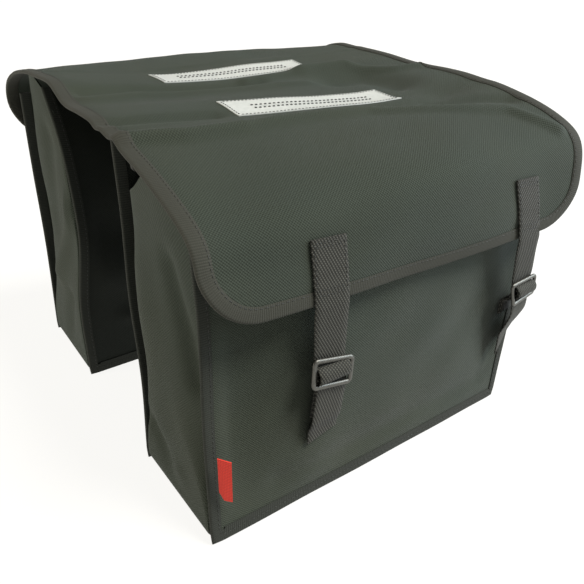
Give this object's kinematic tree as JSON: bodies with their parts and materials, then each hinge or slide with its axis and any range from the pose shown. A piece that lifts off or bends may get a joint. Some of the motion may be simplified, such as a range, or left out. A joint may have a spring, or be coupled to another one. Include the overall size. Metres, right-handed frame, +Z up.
{
  "type": "double bicycle pannier",
  "caption": "Soft cloth bicycle pannier that straddles a rack: hollow bags joined by a bridge, bound flap lids, buckled webbing straps, seam piping and slotted silver patches.",
  "frame": {"origin": "centre of the bounding box at floor level", "axes": "+X towards the near bag's outer side, +Y along the bags towards their right end, +Z up"},
  "size_m": [0.4799, 0.3932, 0.346],
  "materials": {
    "cloth": "matte coarse weave",
    "tape": "matte woven tape",
    "webbing": "matte twill webbing",
    "metal": "satin",
    "reflective": "silver reflective sheet",
    "label": "woven, plain"
  },
  "bodies": {
    "root": {"bridge_binding_left": "tape", "bridge_binding_right": "tape", "bridge_panel": "cloth", "far_back_panel": "cloth", "far_back_seam": "tape", "far_eyelet": "metal", "far_flap": "cloth", "far_flap_binding": "tape", "far_gusset": "cloth", "far_left_buckle": "metal", "far_left_buckle_tab": "webbing", "far_left_strap": "webbing", "far_outer_panel": "cloth", "far_outer_seam": "tape", "far_reflective_patch": "reflective", "far_right_buckle": "metal", "far_right_buckle_tab": "webbing", "far_right_strap": "webbing", "near_back_panel": "cloth", "near_back_seam": "tape", "near_eyelet": "metal", "near_flap": "cloth", "near_flap_binding": "tape", "near_gusset": "cloth", "near_left_buckle": "metal", "near_left_buckle_tab": "webbing", "near_left_strap": "webbing", "near_outer_panel": "cloth", "near_outer_seam": "tape", "near_reflective_patch": "reflective", "near_right_buckle": "metal", "near_right_buckle_tab": "webbing", "near_right_strap": "webbing", "side_label": "label"}
  },
  "joints": []
}
